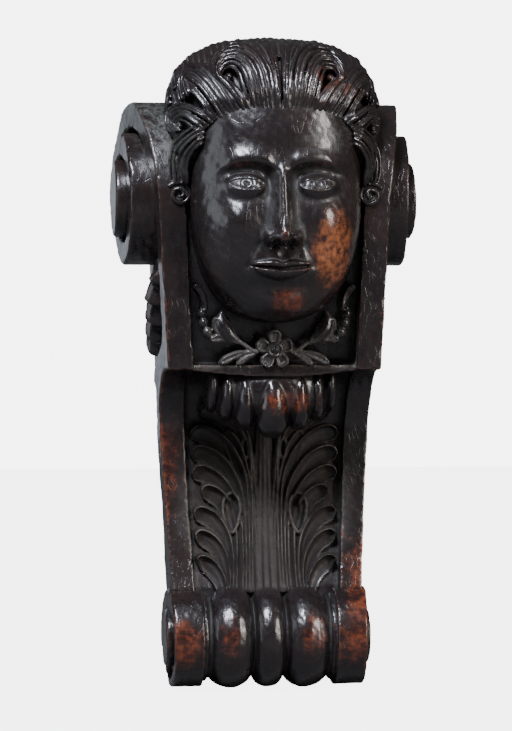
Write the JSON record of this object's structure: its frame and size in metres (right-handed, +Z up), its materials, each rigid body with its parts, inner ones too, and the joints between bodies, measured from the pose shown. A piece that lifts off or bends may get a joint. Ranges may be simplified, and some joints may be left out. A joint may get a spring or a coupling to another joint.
{
  "type": "carved corbel bracket",
  "caption": "Carved wooden wall corbel: a calm mask under combed hair, side volutes, a garland, a hollowed shaft with an acanthus leaf, and a turned roll at the foot.",
  "frame": {"origin": "centre of the flat back face that goes against the wall", "axes": "+Y into the wall, +Z up, X across the front; the front looks along -Y"},
  "size_m": [0.2644, 0.232, 0.5642],
  "materials": {
    "stained_oak": "dark stain under old glossy varnish, crazed, worn red-brown on arrises, dusty in the recesses"
  },
  "bodies": {
    "root": {"corbel": "stained_oak"}
  },
  "joints": []
}
